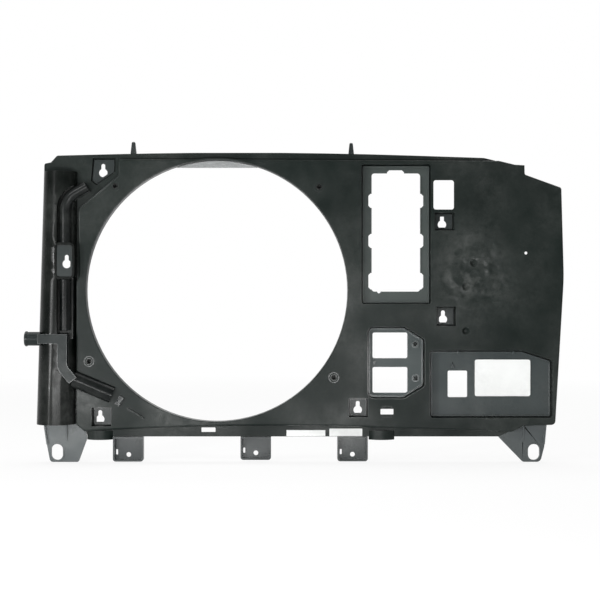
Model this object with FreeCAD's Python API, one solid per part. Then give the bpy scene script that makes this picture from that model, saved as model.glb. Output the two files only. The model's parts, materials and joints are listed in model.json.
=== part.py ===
import FreeCAD, Part
import math
import os

# Radiator fan shroud. Millimetres, +Z up, engine side towards -Y.
# The origin is the centre of the fan opening, on the plane that meets the radiator.

# ---- Driving dimensions -------------------------------------------------------------------
wall = 2.5                  # moulded wall of the panel and of its covers
fan_radius = 185.0          # fan opening
collar_lip = 1.5            # rounding of the opening's front edge
plateau_depth = 18.0        # main plateau, in front of the radiator plane
bay_depth = 8.0             # lower shelf at the left and along the top edge
flange_depth = 2.5          # bottom flange
edge_round = 2.8            # rounding of the plateau's front edge
fit = 0.3                   # clearance between separate pieces

# Outer shape, x and z
panel_left_top = -245.0
panel_left_bottom = -255.5
panel_top_left = 180.5      # height of the left shoulder
panel_crown = 199.2         # top edge, where its two slopes would meet
crown_x = 60.0
crown_bend = 7400.0
panel_right = 491.0
panel_foot_z = -188.8       # lower end of the left bay
flange_bottom = -207.3      # lower edge of the bottom flange
flange_left = -184.1
flange_inset = 91.3         # its right end, in from the right edge
belly_z = -186.6            # plateau's lower edge, where its two slopes would meet
belly_x = 30.0
belly_bend = 4240.0
left_wall_x = -198.6        # plateau's left wall
left_wall_turn = 11.0       # height where it steps towards the opening
left_wall_steps = ((-194.6, 23.5), (-195.6, 116.0), (-139.2, 163.5))
plateau_top = ((-139.5, 186.5), (399.0, 183.9))
shoulder_steps = ((-235.6, 182.4), (-227.0, 192.0))
shelf_right = (378.7, 188.7)
corner_steps = ((69.7, 178.5), (55.6, 177.6), (55.3, 164.5), (3.5, 145.8))  # inset, height
right_bulge_z = 18.2
right_foot_step = (12.2, -189.6)
lower_right_steps = ((56.9, -190.9), (73.8, -199.4))
lower_left_step = (-187.3, -198.7)
flange_overlap = 4.9        # how far the flange goes up behind the plateau

# Fan mounts: threaded inserts round the opening
fan_mount_margin = 21.0     # from the opening's edge to the mounts' circle
fan_mount_angles = (-36.5, 45.4, 134.1, 209.0)
fan_boss_radius = 7.0
fan_insert_radius = 4.0
fan_thread_radius = 2.5
fan_insert_length = 10.0
boss_rise = 0.8

# Plates seated in pockets
plate = 2.5                 # thickness of a seated plate
ledge = 2.5                 # thickness of the ledge that it rests on
ledge_width = 3.0
plate_gap = 0.8             # groove between a plate and its pocket
draft = 1.2                 # slope of a pocket wall, front to back

# Keyhole plates
keyhole_radius = 6.0
keyhole_neck = 2.8          # half width of the narrow end
keyhole_rise = 12.8         # top of the neck above the wide end's centre
top_left_corners = ((-171.3, 152.3), (-146.3, 169.2), (-146.0, 186.3), (-174.5, 186.3),
                    (-177.0, 157.0))
top_left_hole = (-162.0, 167.8)
low_left_plate = (-174.8, -150.6, -189.5, -166.8)
low_left_hole = (-166.3, -182.4)
low_centre_plate = (189.0, 211.7, -176.7, -153.9)
low_centre_hole = (199.9, -169.2)
upper_right_plate = (310.0, 334.2, 87.2, 108.7)
upper_right_hole = (319.7, 94.2)
mid_right_plate = (312.8, 336.0, -47.9, -24.4)
mid_right_hole = (321.1, -40.6)

# Tank cover: a half cone, wider at the bottom
tank_top = 168.5
tank_top_x = -221.5
tank_bottom_x = -228.0
tank_top_radius = 23.5
tank_bottom_radius = 27.5
tank_lip = 4.5              # shelf left under the cover's edge

# Stand for the middle left keyhole plate, on the tank cover
stand_left = -223.6
stand_right = -201.8
stand_bottom = 20.0
stand_top = 64.3
stand_round = 4.0
stand_depth = 31.0          # front face of the keyhole plate there
stand_rim = 2.5             # frame, in front of that face
stand_keyhole = (-209.5, 37.6)

# Vent tube cover
vent_x = -212.8
vent_radius = 7.6
vent_depth = 31.5
vent_low = -56.0
vent_trough = 3.0           # trough in the tank cover, beside the tube
vent_trough_depth = 20.0
vent_high = (-182.5, 147.0)
vent_tilt = 30.0            # slope of the upper end, degrees above level
vent_bend = 27.0

# Pipe channel: flat-topped, crosses the tank cover
channel_depth = 37.0
channel_half = 6.7
channel_left = -249.5
channel_z = -67.5
channel_x = -215.1
channel_end = (-200.2, -125.6)
channel_turn = (-215.1, -107.5)
channel_bend = 16.0
spigot_left = -268.5
spigot_radius = 9.7
spigot_wall = 2.4
spigot_depth = 27.0
bead = 1.0

# Hose guard: half-round, on the plateau's lower left
guard_start = (-201.0, -124.5)
guard_end = (-147.5, -147.0)
guard_radius = 12.0

# Flap frame
flap_left = 206.8
flap_right = 301.0
flap_bottom = -16.6
flap_top = 177.0
flap_open_left = 219.6
flap_open_right = 288.6
flap_open_bottom = -1.0
flap_open_top = 167.0
notch_reach = 4.5           # notches, past the sides of the opening
notch_cut = 3.0
notches = ((118.0, 138.0), (61.0, 81.0), (2.0, 25.5))
head_notch = (241.6, 265.8)
rim_height = 3.0
rim_width = 1.6

# Resistor plate
resistor_left = 215.3
resistor_right = 292.2
resistor_bottom = -150.4
resistor_top = -52.9
resistor_slope_x = 265.0    # where the two right corners start to slope
resistor_slope_z = 16.8
resistor_window = (221.0, 270.4)
resistor_window_low = (-144.7, -108.4)
resistor_window_high = (-95.6, -59.3)
resistor_screws = ((281.5, -75.6), (282.2, -124.0))
resistor_insert_radius = 3.2
resistor_thread_radius = 1.8
resistor_insert_length = 6.0
screw_rim = 1.8
screw_rise = 2.0

# Module tray
tray_left = 303.6
tray_inset = 18.0           # its right side, in from the panel's right edge
tray_bottom = -177.7
tray_top = -86.3
tray_slope_run = 42.0
tray_slope_z = 13.5
tray_window = (327.8, 355.5, -151.1, -113.4)
catch_x = 334.9
catch_z = (-111.5, -95.5)
label_gap = 10.7            # from the window to the label
label_inset = 27.8          # from the label to the tray's right side
label_heights = (-149.7, -97.7)
label_thickness = 0.3
label_frame = 1.0
tray_tab_insets = (38.4, 53.4)

# Feet, lugs and pins
foot_depth = 4.0
foot_slot_half = 8.2
foot_slot_height = 22.6
foot_left_slot = (-227.5, -229.2)
foot_right_slot = (40.8, -229.2)
foot_left_corners = ((-197.2, -243.4), (-237.5, -243.4), (-242.4, -218.0))
foot_left_inset = 8.8
foot_left_side = (1.2, 1.0, -211.0)     # gap to the flange, rise above it, lower end
foot_left_gusset = (-213.8, -216.0)
foot_left_rib = (-245.4, -241.2, -218.0)
foot_right_corners = ((22.8, -190.2), (25.8, -222.0), (31.2, -243.2), (56.4, -243.2))
foot_right_gusset = (55.7, -191.0, -215.0)
foot_right_rib = ((24.0, -190.3), (26.6, -218.0))
foot_rim = 2.0
foot_rim_height = 4.0
lug_centres = {"left": (-126.0, -242.2), "centre": (55.0, -239.8), "right": (192.4, -241.8)}
lug_width = 43.2
lug_depth = 10.0
lug_round = 4.0
lug_hole_radius = 3.4
lug_hole_rise = 9.2
pin_places = {"left": (-118.8, 211.8), "right": (190.5, 210.3)}
pin_root_radius = 2.4
pin_base = 3.9              # half width where the pin leaves the edge
pin_tip = 2.4               # half width at its tip
pin_nose = 1.2
pin_height = 15.8
pin_root = 7.0
pin_boss = 6.0

# Windows and slots through the panel
small_window = (306.3, 335.3, 114.8, 156.3)
tie_slot = (231.5, 249.8, -174.7, -166.9)
tie_groove = 1.2
flange_slot = (-22.5, -2.5, -200.9, -194.5)
side_hole = (436.9, 53.4, 2.1)
screw_cups = ((352.2, 5.4), (352.2, -56.8), (363.5, 39.3))
cup_radius = 5.6
cup_depth = 4.0

# Ribs
rib = 1.8
rib_height = 9.0
field_ribs_x = (387.0, 455.0)
field_ribs_z = (72.0, -8.0, -68.0)
ring_rib_margin = 13.0      # from the opening's edge to the ring rib
guide_rib = ((-125.8, -166.2), (-103.2, -179.6))

# Clip, stock labels and bumps on the bottom flange
clip_centre = (-136.9, -155.3)
clip_tilt = -31.0           # direction of the cable, degrees above level
clip_length = 13.4
clip_width = 7.0
clip_base = 1.5
clip_height = 5.0
clip_fin = 1.6
clip_groove = 2.4
clip_peg_radius = 1.8
guide_height = 4.0
bump_centres = (-166.6, 233.8)
bump_width = 36.4
bump_height = 9.0
bump_drop = 4.2
stock_label_boxes = ((98.6, 153.8, -206.8, -198.2), (159.6, 206.4, -206.8, -196.0))


# ---- Helpers ------------------------------------------------------------------------------
def point(x, z, y=0.0):
    return FreeCAD.Vector(x, y, z)


def outline(points, y=0.0):
    """Closed wire at depth y. A corner is (x, z) or (x, z, radius)."""
    corners = [point(p[0], p[1], y) for p in points]
    starts, ends, arcs = [], [], []
    for i, corner in enumerate(corners):
        radius = points[i][2] if len(points[i]) > 2 else 0.0
        to_last = (corners[i - 1] - corner).normalize()
        to_next = (corners[(i + 1) % len(corners)] - corner).normalize()
        if radius <= 0:
            starts.append(corner)
            ends.append(corner)
            arcs.append(None)
            continue
        half = to_last.getAngle(to_next) / 2
        run = radius / math.tan(half)
        middle = (to_last + to_next).normalize()
        inner = corner + middle * (radius / math.sin(half) - radius)
        starts.append(corner + to_last * run)
        ends.append(corner + to_next * run)
        arcs.append(Part.Arc(starts[i], inner, ends[i]).toShape())
    edges = []
    for i in range(len(corners)):
        if arcs[i]:
            edges.append(arcs[i])
        following = starts[(i + 1) % len(corners)]
        if ends[i].distanceToPoint(following) > 1e-6:
            edges.append(Part.makeLine(ends[i], following))
    return Part.Wire(edges)


def grown(wire, distance):
    """The wire, moved outwards by distance, or inwards if it is negative."""
    return wire.makeOffset2D(distance, 2) if distance else wire


def prism(wire, front, back=0.0):
    """Solid between two depths in front of the radiator plane."""
    face = Part.Face(wire)
    face.translate(FreeCAD.Vector(0, -front - face.BoundBox.YMin, 0))
    return face.extrude(FreeCAD.Vector(0, front - back, 0))


def tapered(wire, front, back, extra):
    """Like prism, but wider by extra at the front."""
    low = wire.copy()
    low.translate(FreeCAD.Vector(0, -back, 0))
    high = grown(wire, extra)
    high.translate(FreeCAD.Vector(0, -front, 0))
    return Part.makeLoft([high, low], True, True)


def box(x0, x1, z0, z1, front, back=0.0):
    return Part.makeBox(x1 - x0, front - back, z1 - z0, FreeCAD.Vector(x0, -front, z0))


def rectangle(x0, x1, z0, z1, radius=0.0):
    return outline([(x0, z0, radius), (x1, z0, radius), (x1, z1, radius), (x0, z1, radius)])


def chamfered(x0, x1, z0, z1, cut):
    return outline([(x0 + cut, z0), (x1 - cut, z0), (x1, z0 + cut), (x1, z1 - cut),
                    (x1 - cut, z1), (x0 + cut, z1), (x0, z1 - cut), (x0, z0 + cut)])


def rod(x, z, radius, front, back=0.0):
    return Part.makeCylinder(radius, front - back, point(x, z, -front), FreeCAD.Vector(0, 1, 0))


def bar(start, end, width, front, back):
    """Straight rib between two points."""
    run = point(*end) - point(*start)
    solid = Part.makeBox(run.Length, front - back, width,
                         FreeCAD.Vector(0, -front, -width / 2))
    solid.rotate(FreeCAD.Vector(0, 0, 0), FreeCAD.Vector(0, -1, 0),
                 math.degrees(math.atan2(run.z, run.x)))
    solid.translate(point(*start))
    return solid


def crowned(wire, depth, rounding):
    """Like prism, with its front edge rounded off in two slopes."""
    inset = rounding * (1 - math.cos(math.pi / 4))
    body = prism(wire, depth - rounding)
    steep = tapered(wire, depth - inset, depth - rounding, -inset)
    flat = tapered(grown(wire, -inset), depth, depth - inset, inset - rounding)
    return body.fuse([steep, flat])


def join(shapes):
    return shapes[0].multiFuse(shapes[1:]).removeSplitter()


# ---- Outlines of the panel ----------------------------------------------------------------
def from_right(places):
    """Corners given by their inset from the panel's right edge, as corners in x and z."""
    return [(panel_right - inset, z) for inset, z in places]


def top_right_corner():
    """The stepped corner and the right edge, shared by the shelf and the plateau."""
    steps = [place + (radius,)
             for place, radius in zip(from_right(corner_steps), (0, 0, 3, 4))]
    foot = from_right([right_foot_step])[0]
    return steps + [(panel_right, right_bulge_z, 300), foot + (6,)]


def lower_edge():
    """The lower edge from right to left, shared by the shelf, the plateau and the feet."""
    return from_right(lower_right_steps) + [
        (belly_x, belly_z, belly_bend), lower_left_step, (left_wall_x, panel_foot_z)]


def shelf_outline():
    first, second = shoulder_steps
    return outline([(panel_left_top, panel_top_left, 3), first, second + (4,),
                    (crown_x, panel_crown, crown_bend), shelf_right + (30,)]
                   + top_right_corner() + lower_edge()
                   + [(panel_left_bottom, panel_foot_z, 5)])


def plateau_outline():
    left, right = plateau_top
    steps = [place + (radius,) for place, radius in zip(left_wall_steps, (4, 12, 4))]
    return outline([left + (4,), right] + top_right_corner() + lower_edge()
                   + [(left_wall_x, left_wall_turn, 4)] + steps)


def flange_outline():
    low = flange_bottom
    inner, outer = from_right(lower_right_steps)
    left_x, left_z = lower_left_step
    return outline([(left_x - flange_overlap, inner[1] + flange_overlap), (left_x, left_z),
                    (flange_left, low, 2), (panel_right - flange_inset, low), outer,
                    (inner[0], inner[1] + flange_overlap)])


# ---- Outlines of the plates ---------------------------------------------------------------
def flap_plate_outline():
    return rectangle(flap_left, flap_right, flap_bottom, flap_top, 1.5)


def resistor_plate_outline():
    slope = resistor_slope_z
    return outline([(resistor_left, resistor_bottom, 7), (resistor_slope_x, resistor_bottom, 4),
                    (resistor_right, resistor_bottom + slope, 6),
                    (resistor_right, resistor_top - slope, 6),
                    (resistor_slope_x, resistor_top, 4), (resistor_left, resistor_top, 7)])


def tray_plate_outline():
    right = panel_right - tray_inset
    return outline([(tray_left, tray_bottom, 2), (right, tray_bottom, 3),
                    (right, tray_top - tray_slope_z, 5), (right - tray_slope_run, tray_top, 8),
                    (tray_left, tray_top, 2)])


def label_outline(extra=0.0):
    """The label between the tray's window and its right side, or its bed when extra is given."""
    low, high = label_heights
    return rectangle(tray_window[1] + label_gap - extra,
                     panel_right - tray_inset - label_inset + extra, low - extra, high + extra, 3)


def keyhole_plates():
    """Name: outline, keyhole centre, depth of the surface round the pocket."""
    return {
        "top_left": (outline(top_left_corners), top_left_hole, bay_depth),
        "low_left": (rectangle(*low_left_plate), low_left_hole, plateau_depth),
        "low_centre": (rectangle(*low_centre_plate), low_centre_hole, plateau_depth),
        "upper_right": (rectangle(*upper_right_plate), upper_right_hole, plateau_depth),
        "mid_right": (rectangle(*mid_right_plate), mid_right_hole, plateau_depth),
    }


def pockets():
    """Outline and surface depth of every pocket in the panel."""
    large = [flap_plate_outline(), resistor_plate_outline(), tray_plate_outline()]
    small = [(wire, depth) for wire, hole, depth in keyhole_plates().values()]
    return [(wire, plateau_depth) for wire in large] + small


def fan_mounts():
    radius = fan_radius + fan_mount_margin
    return [(radius * math.cos(math.radians(angle)), radius * math.sin(math.radians(angle)))
            for angle in fan_mount_angles]


# ---- Main panel ---------------------------------------------------------------------------
def panel_outside():
    """The shelf and the plateau as solid blocks."""
    shelf = prism(shelf_outline(), bay_depth)
    return shelf.fuse(crowned(plateau_outline(), plateau_depth, edge_round))


def panel_inside():
    """The hollow behind them, one wall thickness smaller."""
    shelf = prism(grown(shelf_outline(), -wall), bay_depth - wall)
    return shelf.fuse(prism(grown(plateau_outline(), -wall), plateau_depth - wall))


def panel_ribs():
    """Ribs on the hidden side, kept within the hollow of the plateau."""
    front = plateau_depth - wall / 2
    back = front - rib_height
    ribs = [box(x - rib / 2, x + rib / 2, -panel_right, panel_right, front, back)
            for x in field_ribs_x]
    ribs += [box(flap_right, panel_right, z - rib / 2, z + rib / 2, front, back)
             for z in field_ribs_z]
    ring_radius = fan_radius + ring_rib_margin
    ring = rod(0, 0, ring_radius + rib, front, back)
    ribs.append(ring.cut(rod(0, 0, ring_radius, front, back)))
    space = prism(grown(plateau_outline(), -wall / 2), front)
    return [shape.common(space) for shape in ribs]


def fan_cutter():
    """The opening, with a rounded front edge."""
    lip = collar_lip
    front = -plateau_depth
    wide = fan_radius + lip
    slant = lip * (1 - math.sin(math.pi / 4))
    corners = [(0, wall), (fan_radius, wall), (fan_radius, front + lip),
               (fan_radius + slant, front + slant), (wide, front), (wide, front - wall),
               (0, front - wall), (0, wall)]
    profile = Part.Face(Part.makePolygon([FreeCAD.Vector(x, y, 0) for x, y in corners]))
    return profile.revolve(FreeCAD.Vector(0, 0, 0), FreeCAD.Vector(0, 1, 0), 360)


def bump(x, inset):
    """Round-faced bump under the bottom flange; its hollow when inset is the wall."""
    reach = bump_width / 2 - inset
    low = flange_bottom - bump_drop + inset
    high = flange_bottom + bump_height - inset
    front = -flange_depth
    ends = [FreeCAD.Vector(x - reach, inset, low), FreeCAD.Vector(x - reach, front, low),
            FreeCAD.Vector(x + reach, front, low), FreeCAD.Vector(x + reach, inset, low)]
    crest = FreeCAD.Vector(x, front - bump_height + inset, low)
    edges = [Part.makeLine(ends[0], ends[1]), Part.Arc(ends[1], crest, ends[2]).toShape(),
             Part.makeLine(ends[2], ends[3]), Part.makeLine(ends[3], ends[0])]
    return Part.Face(Part.Wire(edges)).extrude(FreeCAD.Vector(0, 0, high - low))


def pin_root_rod(x, tip):
    """The root of a locating pin, and its socket in the top edge."""
    shoulder = tip - pin_height
    return Part.makeCylinder(pin_root_radius, pin_root + wall,
                             FreeCAD.Vector(x, -bay_depth / 2, shoulder - pin_root))


def tank_aperture():
    """Opening behind the tank cover, inside the shelf that carries the cover."""
    reach = tank_lip
    low, high = tank_bottom_radius - reach, tank_top_radius - reach
    return outline([(tank_bottom_x - low, panel_foot_z + reach, 3),
                    (tank_bottom_x + low, panel_foot_z + reach, 3),
                    (tank_top_x + high, tank_top - reach, 3),
                    (tank_top_x - high, tank_top - reach, 3)])


def pocket_cutters():
    """A drafted pocket for each plate, and the opening inside its ledge."""
    cutters = []
    for wire, depth in pockets():
        mouth = grown(wire, plate_gap + draft)
        cutters.append(prism(mouth, depth + wall, depth))
        cutters.append(tapered(grown(wire, plate_gap), depth, ledge, draft))
        cutters.append(prism(grown(wire, -ledge_width), ledge + wall, -wall))
    return cutters


def slot_cutters():
    """Windows, slots and plain holes that go right through."""
    front, back = plateau_depth + wall, -wall
    x0, x1, z0, z1 = tie_slot
    groove = wall + tie_groove
    grooves = box(x0 + wall, x1 - wall, z0 - groove, z1 + groove, front,
                  plateau_depth - tie_groove)
    return [prism(rectangle(*small_window, 3.5), front, back),
            prism(rectangle(*tie_slot, 1.0), front, back), grooves,
            prism(rectangle(*flange_slot, 1.0), front, back),
            rod(*side_hole, front, back), rod(*clip_centre, clip_peg_radius, front, back)]


def boss_back():
    """Depth of the blind end of a fan mount's socket."""
    return plateau_depth + boss_rise - fan_insert_length


def main_panel():
    inside = panel_inside()
    shell = panel_outside().cut(inside)
    solids = [shell, prism(flange_outline(), flange_depth).cut(inside)]
    solids.append(rod(0, 0, fan_radius + wall, plateau_depth))
    solids += panel_ribs()
    cutters = [fan_cutter(), prism(tank_aperture(), bay_depth + wall, -wall)]
    for x, z in fan_mounts():
        solids.append(rod(x, z, fan_boss_radius, plateau_depth + boss_rise, boss_back() - wall))
        cutters.append(rod(x, z, fan_insert_radius, plateau_depth + wall, boss_back()))
    for x, z in screw_cups:
        back = plateau_depth - cup_depth
        solids.append(rod(x, z, cup_radius + wall / 2, plateau_depth, back - wall))
        cutters.append(Part.makeCone(cup_radius, cup_radius / 3, cup_depth,
                                     point(x, z, -plateau_depth), FreeCAD.Vector(0, 1, 0)))
    for wire, depth in pockets():
        solids.append(prism(grown(wire, plate_gap + draft + wall), depth))
    for x in bump_centres:
        solids.append(bump(x, 0.0))
        cutters.append(bump(x, wall))
    for x, tip in pin_places.values():
        top = tip - pin_height
        solids.append(box(x - pin_boss, x + pin_boss, top - pin_root - wall, top - wall,
                          bay_depth))
        cutters.append(pin_root_rod(x, tip))
    solids.append(bar(*guide_rib, rib, plateau_depth + guide_height, plateau_depth - wall / 2))
    return join(solids).cut(cutters + pocket_cutters() + slot_cutters())


# ---- Tank cover, with the stand for a keyhole plate and the trough for the vent tube -------
def tank_axis(z):
    """Axis and radius of the half cone at a height."""
    share = (z - panel_foot_z) / (tank_top - panel_foot_z)
    x = tank_bottom_x + share * (tank_top_x - tank_bottom_x)
    return x, tank_bottom_radius + share * (tank_top_radius - tank_bottom_radius)


def half_cone(extra, back):
    """The cover's half cone, larger by extra, from its crest down to a depth at the back."""
    low, high = panel_foot_z - extra, tank_top + extra
    foot_z, head_z = low - tank_top_radius, high + tank_top_radius
    (x0, r0), (x1, r1) = tank_axis(foot_z), tank_axis(head_z)
    start = FreeCAD.Vector(x0, -bay_depth, foot_z)
    axis = FreeCAD.Vector(x1, -bay_depth, head_z) - start
    cone = Part.makeCone(r0 + extra, r1 + extra, axis.Length, start, axis)
    keep = box(x0 - 2 * r0, x0 + 2 * r0, low, high, bay_depth + 2 * r0, bay_depth)
    half = cone.common(keep)
    if back >= bay_depth:
        return half
    base = max(half.Faces, key=lambda face: face.CenterOfMass.y)
    return half.fuse(base.extrude(FreeCAD.Vector(0, bay_depth - back, 0)))


def channel_outlines(inset):
    """The channel's run across the tank and its run down, as two outlines."""
    half = channel_half - inset
    path = [(channel_x, channel_z), channel_turn, channel_end]
    across = rectangle(channel_left + inset, channel_x + half, channel_z - half,
                       channel_z + half)
    return [across, band(shortened(path, inset), half, channel_bend)]


def vent_path(low, high):
    """Corners of the vent tube: up beside the tank, then over to the right."""
    slope = math.tan(math.radians(vent_tilt))
    corner = (vent_x, vent_high[1] - (vent_high[0] - vent_x) * slope)
    if high < corner[1]:
        return [(vent_x, low), (vent_x, high)]
    return [(vent_x, low), corner, vent_high]


def band(path, half, bend=0.0):
    """Outline of a strip along a path of two or three corners, with round bends."""
    runs = [(point(*b) - point(*a)).normalize() for a, b in zip(path, path[1:])]
    left, right = [], []
    for i, place in enumerate(path):
        before = runs[max(i - 1, 0)]
        after = runs[min(i, len(runs) - 1)]
        side = (before + after).normalize()
        normal = FreeCAD.Vector(-side.z, 0, side.x)
        reach = normal * (half / math.cos(before.getAngle(after) / 2))
        turn = before.z * after.x - before.x * after.z
        inner, outer = (bend - half, bend + half) if turn > 0 else (bend + half, bend - half)
        rounds = (0.0, 0.0) if before.getAngle(after) < 1e-6 or not bend else (outer, inner)
        a, b = point(*place) + reach, point(*place) - reach
        left.append((a.x, a.z, rounds[0]))
        right.append((b.x, b.z, rounds[1]))
    return outline(left + right[::-1])


def shortened(path, cut):
    """The path with both ends drawn in by a distance."""
    first, last = point(*path[0]), point(*path[-1])
    to_second = (point(*path[1]) - first).normalize() * cut
    to_former = (point(*path[-2]) - last).normalize() * cut
    first, last = first + to_second, last + to_former
    return [(first.x, first.z)] + path[1:-1] + [(last.x, last.z)]


def trough(extra):
    """Trough in the tank cover on both sides of the vent tube, and under the channel."""
    half = vent_radius + vent_trough + extra
    floor = vent_trough_depth - extra
    top = 4 * vent_depth
    beyond = vent_high[0] + 2 * half
    rise = math.tan(math.radians(vent_tilt)) * 2 * half
    upper = vent_path(stand_bottom, tank_top)
    upper[-1] = (beyond, vent_high[1] + rise)
    lower = [(vent_x, channel_z), (vent_x, stand_top)]
    strips = [band(upper, half, vent_bend), band(lower, half)]
    strips += [grown(wire, fit + extra) for wire in channel_outlines(0.0)]
    solids = [prism(wire, top, floor) for wire in strips]
    return solids[0].fuse(solids[1:])


def tank_outside(extra=0.0):
    """Outer form of the tank cover; grown by a clearance, it trims what sits on it."""
    return half_cone(extra, bay_depth).cut(trough(-extra))


def stand_outline():
    return rectangle(stand_left, stand_right, stand_bottom, stand_top, stand_round)


def tank_cover():
    hollow = half_cone(-wall, -wall).cut(trough(wall))
    cover = tank_outside().cut(hollow)
    floor = stand_depth - plate
    frame = prism(grown(stand_outline(), plate_gap + wall), stand_depth + stand_rim, bay_depth)
    frame = frame.cut(prism(grown(stand_outline(), plate_gap), floor - ledge, -wall))
    frame = frame.cut(half_cone(-wall, -wall).common(
        box(panel_left_bottom, 0, panel_foot_z, tank_top, floor - ledge)))
    notch = prism(grown(stand_outline(), plate_gap + wall), 4 * vent_depth, floor - ledge)
    cover = join([cover.cut(notch), frame])
    recess = prism(grown(stand_outline(), plate_gap), 4 * vent_depth, floor)
    window = prism(grown(stand_outline(), -ledge_width), 4 * vent_depth, -wall)
    return cover.cut([recess, window])


# ---- Vent tube cover, pipe channel and hose guard -------------------------------------------
def round_band(path, half, bend, crest, base):
    """Strip with a half-round crest along a path."""
    sides = prism(band(path, half, bend), crest - half, base)
    depth = -(crest - half)
    start, turn = point(*path[0], depth), point(*path[1], depth)
    if len(path) == 2:
        return sides.fuse(Part.makeCylinder(half, start.distanceToPoint(turn), start,
                                            turn - start))
    end = point(*path[2], depth)
    to_start, to_end = (start - turn).normalize(), (end - turn).normalize()
    angle = to_start.getAngle(to_end) / 2
    run = bend / math.tan(angle)
    middle = turn + (to_start + to_end).normalize() * (bend / math.sin(angle) - bend)
    first, last = turn + to_start * run, turn + to_end * run
    spine = Part.Wire([Part.makeLine(start, first), Part.Arc(first, middle, last).toShape(),
                       Part.makeLine(last, end)])
    ring = Part.Wire([Part.makeCircle(half, start, turn - start)])
    return sides.fuse(spine.makePipeShell([ring], True, False))


def vent_tube(low, high):
    path = vent_path(low, high)
    tube = round_band(path, vent_radius, vent_bend, vent_depth, bay_depth)
    bore = round_band(shortened(path, wall), vent_radius - wall, vent_bend, vent_depth - wall,
                      -wall)
    return tube.cut([bore, tank_outside(fit)])


def vent_tube_cover_upper():
    return vent_tube(stand_top + plate_gap + wall + fit, tank_top)


def vent_tube_cover_lower():
    return vent_tube(vent_low, stand_bottom - plate_gap - wall - fit)


def channel_block(inset):
    """Flat-topped channel; its hollow when inset is the wall."""
    base = bay_depth if inset <= 0 else -wall
    across, down = [prism(wire, channel_depth - inset, base) for wire in channel_outlines(inset)]
    return across.fuse(down)


def spigot():
    """Hose spigot at the channel's left end: outer form and bore."""
    along = FreeCAD.Vector(1, 0, 0)
    start = FreeCAD.Vector(spigot_left, -spigot_depth, channel_z)
    length = channel_left + wall - spigot_left
    tube = Part.makeCylinder(spigot_radius, length, start, along)
    ring = Part.makeCylinder(spigot_radius + bead, 2 * bead, start + along * bead, along)
    bore = Part.makeCylinder(spigot_radius - spigot_wall, length + wall, start - along * wall / 2,
                             along)
    return tube.fuse(ring), bore


def pipe_channel():
    tube, bore = spigot()
    channel = channel_block(0.0).fuse(tube)
    channel = channel.cut([channel_block(wall), bore])
    return channel.cut([tank_outside(fit), panel_outside()])


def hose_guard():
    path = [guard_start, guard_end]
    guard = round_band(path, guard_radius, 0, plateau_depth + guard_radius, bay_depth)
    open_path = [shortened(path, wall)[0], shortened(path, -wall)[1]]
    bore = round_band(open_path, guard_radius - wall, 0, plateau_depth + guard_radius - wall,
                      -wall)
    return guard.cut([bore, tank_outside(fit), channel_block(-fit), panel_outside()])


# ---- Seated plates ---------------------------------------------------------------------------
def keyhole(x, z, front, back):
    """A keyhole with its wide end at the bottom."""
    top = z + keyhole_rise - keyhole_neck
    neck = box(x - keyhole_neck, x + keyhole_neck, z, top, front, back)
    return rod(x, z, keyhole_radius, front, back).fuse(
        [neck, rod(x, top, keyhole_neck, front, back)])


def keyhole_plate(wire, hole, back):
    front = back + plate
    return prism(wire, front, back).cut(keyhole(*hole, front + plate, back - plate))


def stand_plate():
    return keyhole_plate(stand_outline(), stand_keyhole, stand_depth - plate)


def raised_rim(wire, front):
    """Rim along the edge of a seated plate."""
    outer = prism(wire, front + rim_height, front)
    return outer.cut(prism(grown(wire, -rim_width), front + 2 * rim_height, front))


def flap_opening(front, back):
    """Opening of the flap frame: three cross notches, a head notch and a foot hole."""
    main = rectangle(flap_open_left, flap_open_right, flap_open_bottom, flap_open_top, 4)
    pieces = [prism(main, front, back)]
    for low, high in notches:
        wire = chamfered(flap_open_left - notch_reach, flap_open_right + notch_reach, low, high,
                         notch_cut)
        pieces.append(prism(wire, front, back))
    head = chamfered(*head_notch, flap_open_top - 3 * notch_reach, flap_open_top + notch_reach,
                     notch_cut)
    pieces.append(prism(head, front, back))
    pieces.append(rod(flap_open_left + 2.3 * notch_reach, flap_open_bottom, notch_cut / 1.2,
                      front, back))
    return join(pieces)


def hinge_lips(front):
    """Small lips between the notches, where the flaps would close."""
    lips = []
    edges = [flap_open_top - notch_reach] + [z for pair in notches for z in pair[::-1]]
    spans = zip(edges[::2], edges[1::2])
    for high, low in spans:
        for x in (flap_open_left - rim_width, flap_open_right):
            lips.append(box(x, x + rim_width, low + 2 * fit, high - 2 * fit, front + rim_height / 2,
                            front))
    return lips


def flap_frame():
    wire = flap_plate_outline()
    front = ledge + plate
    body = join([prism(wire, front, ledge), raised_rim(wire, front)] + hinge_lips(front))
    return body.cut(flap_opening(front + 2 * rim_height, 0))


def resistor_plate():
    wire = resistor_plate_outline()
    front = ledge + plate
    top = front + screw_rise
    solids = [prism(wire, front, ledge), raised_rim(wire, front)]
    cutters = []
    for low, high in (resistor_window_low, resistor_window_high):
        cutters.append(prism(rectangle(*resistor_window, low, high, 2.5), top, 0))
    for x, z in resistor_screws:
        solids.append(rod(x, z, resistor_insert_radius + screw_rim, top))
        cutters.append(rod(x, z, resistor_insert_radius, top, top - resistor_insert_length))
    middle = (resistor_window_low[1] + resistor_window_high[0]) / 2
    solids.append(rod(resistor_window[0] + rim_height, middle, rim_width, top, ledge))
    return join(solids).cut(cutters)


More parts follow.
